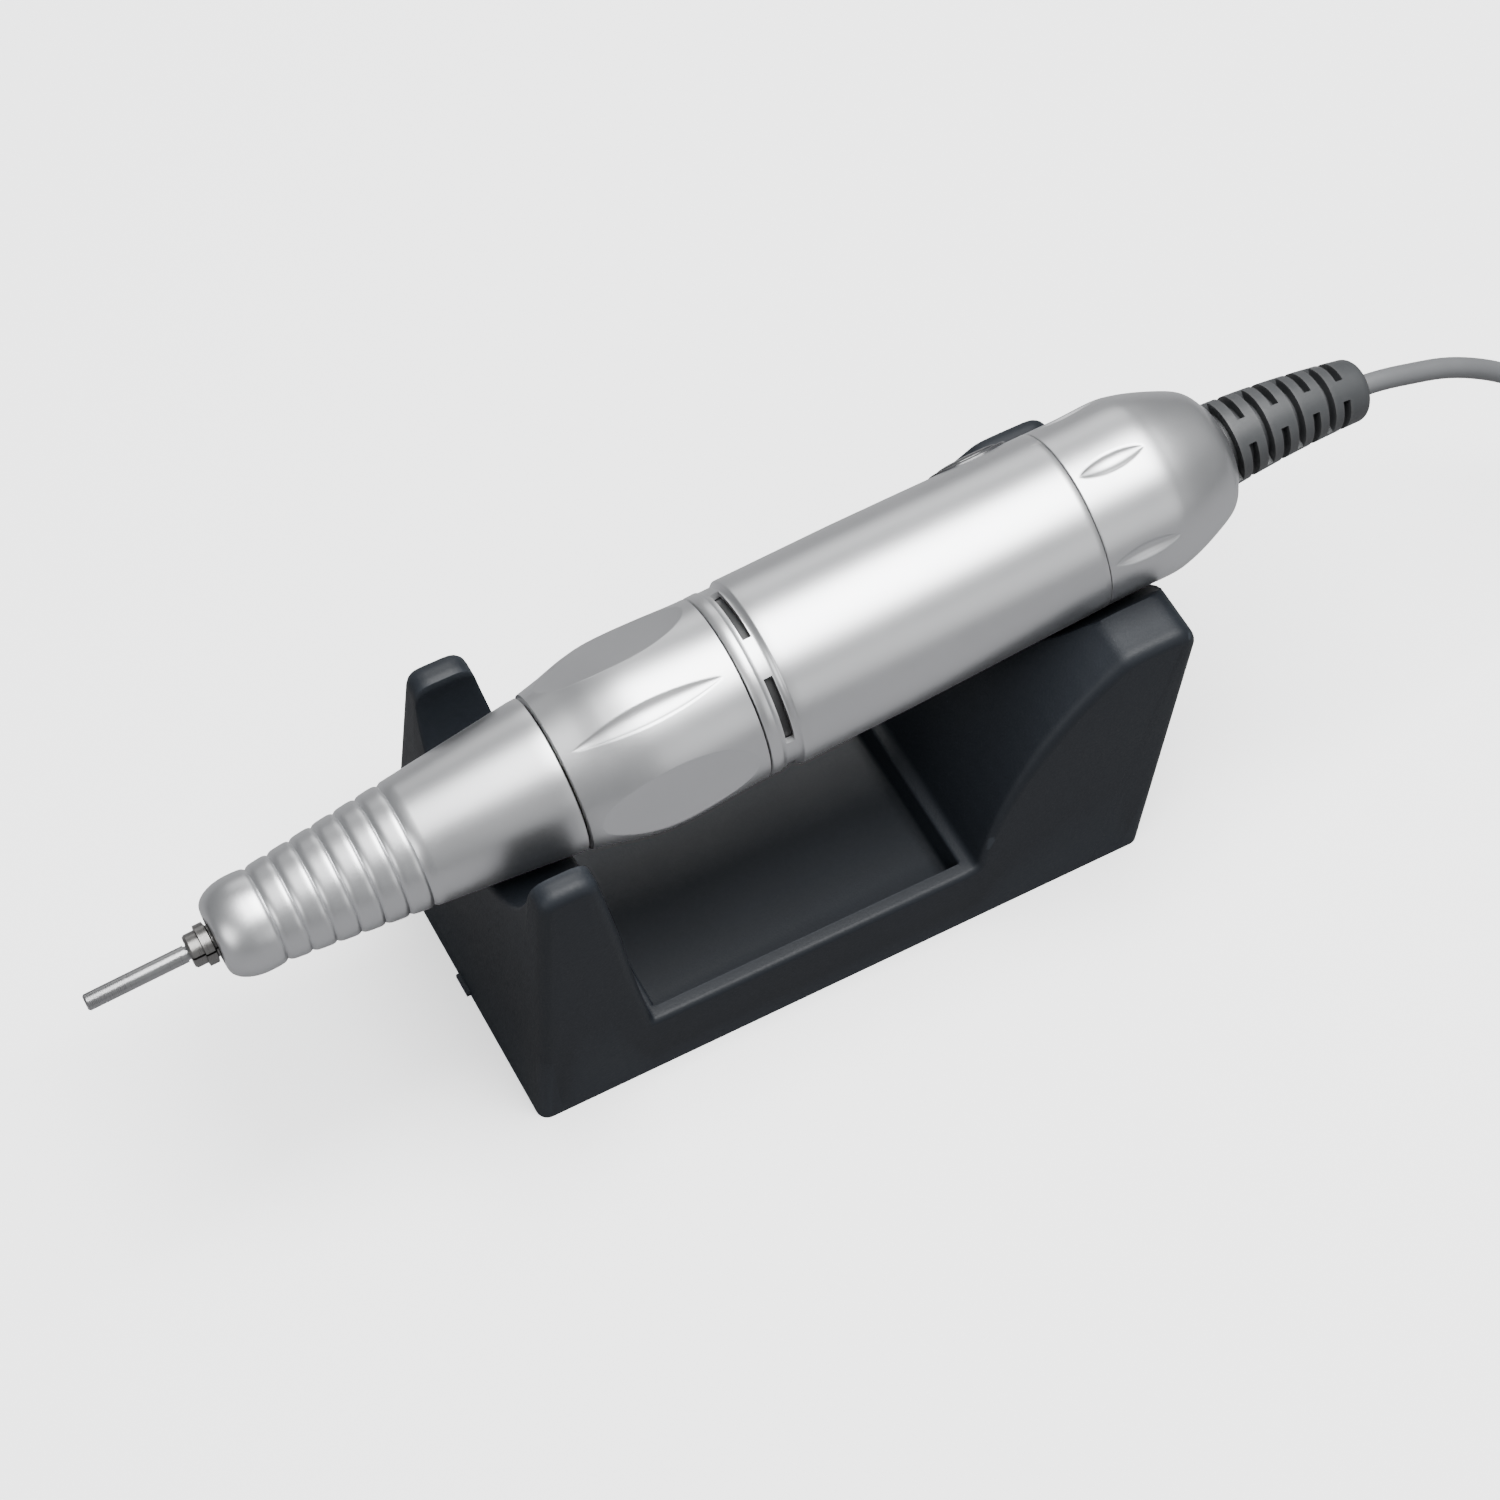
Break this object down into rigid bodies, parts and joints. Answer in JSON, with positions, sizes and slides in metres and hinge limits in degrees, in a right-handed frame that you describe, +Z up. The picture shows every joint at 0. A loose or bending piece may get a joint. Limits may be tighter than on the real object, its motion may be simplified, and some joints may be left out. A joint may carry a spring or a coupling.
{
  "type": "electric nail drill",
  "caption": "Pen-shaped electric nail drill with twist-lock chuck, power button and cord, lying in a two-pronged desk cradle.",
  "frame": {"origin": "centre of the cradle's footprint, on its flat base", "axes": "+X along the cradle from the nose to the cord, +Y to the far side, +Z up"},
  "size_m": [0.3002, 0.0484, 0.0642],
  "materials": {
    "black_abs": "fine moulded texture",
    "black_rubber": "matt",
    "dark_steel": "turned",
    "bright_steel": "ground",
    "satin_silver": "satin bead-blasted silver",
    "brass": "turned",
    "magnet": "sintered",
    "copper": "enamelled wire",
    "gloss_black": "polished",
    "board_green": "solder mask",
    "red_wire": "insulation",
    "grey_rubber": "satin moulded rubber",
    "grey_cord": "satin flexible jacket"
  },
  "bodies": {
    "cradle": {"cradle_shell": "black_abs", "base_plate": "black_abs", "rubber_feet": "black_rubber", "plate_screws": "dark_steel", "cord_tube": "grey_cord", "cord_coil": "grey_cord", "jack_body": "gloss_black", "jack_pin": "brass"},
    "handpiece": {"spindle_outer_races": "bright_steel", "spindle_balls": "bright_steel", "spindle_housing": "bright_steel", "dust_seal": "black_rubber", "nose_cone": "satin_silver", "nose_seal": "black_rubber", "barrel": "dark_steel", "stop_ball": "bright_steel", "stop_spring": "bright_steel", "motor_can": "bright_steel", "magnets": "magnet", "motor_outer_races": "bright_steel", "motor_balls": "bright_steel", "end_bell": "black_abs", "brushes": "magnet", "brush_springs": "bright_steel", "terminals": "brass", "chassis": "black_abs", "body_tube": "satin_silver", "button_bezel": "gloss_black", "button_spring": "bright_steel", "switch_body": "black_abs", "switch_board": "board_green", "bulkhead": "black_abs", "cable_clamp": "black_abs", "clamp_screws": "bright_steel", "lead_wires": "red_wire", "rear_cap": "satin_silver", "strain_boot": "grey_rubber"},
    "rotor": {"spindle": "bright_steel", "spindle_inner_races": "bright_steel", "spring_washers": "dark_steel", "driven_coupling": "dark_steel", "driver_coupling": "dark_steel", "armature_core": "dark_steel", "windings": "copper", "commutator": "copper", "motor_shaft": "bright_steel", "motor_inner_races": "bright_steel"},
    "chuck": {"collet": "dark_steel", "draw_rod": "bright_steel", "cross_pin": "bright_steel", "release_collar": "dark_steel"},
    "blank": {"blank_pin": "bright_steel"},
    "lock": {"lock_sleeve": "satin_silver", "cam_ring": "brass"},
    "pusher": {"pusher": "dark_steel", "cam_pins": "bright_steel"},
    "button": {"power_button": "gloss_black"}
  },
  "joints": [
    {"name": "handpiece_lift", "type": "slide", "parent": "cradle", "child": "handpiece", "axis": [0, 0, 1], "range_m": [0, 0.06]},
    {"name": "spindle_spin", "type": "hinge", "parent": "handpiece", "child": "rotor", "pos_m": [0, 0, 0.0471], "axis": [0.9973, 0, 0.0732], "continuous": true},
    {"name": "lock_twist", "type": "hinge", "parent": "handpiece", "child": "lock", "pos_m": [0, 0, 0.0471], "axis": [0.9973, 0, 0.0732], "range_deg": [0, 40]},
    {"name": "chuck_release", "type": "slide", "parent": "rotor", "child": "chuck", "axis": [-0.9973, 0, -0.0732], "range_m": [0, 0.00081]},
    {"name": "pusher_slide", "type": "slide", "parent": "handpiece", "child": "pusher", "axis": [-0.9973, 0, -0.0732], "range_m": [0, 0.00081]},
    {"name": "blank_pull", "type": "slide", "parent": "chuck", "child": "blank", "axis": [-0.9973, 0, -0.0732], "range_m": [0, 0.05]},
    {"name": "power_press", "type": "slide", "parent": "handpiece", "child": "button", "axis": [0.025, -0.9397, -0.3411], "range_m": [0, 0.0006], "stiffness_N_per_m": 500, "springref_m": -0.0005}
  ],
  "couplings": [
    {"joint": "chuck_release", "follows": "lock_twist", "m_per_rad": 0.0011459},
    {"joint": "pusher_slide", "follows": "lock_twist", "m_per_rad": 0.0011459}
  ]
}
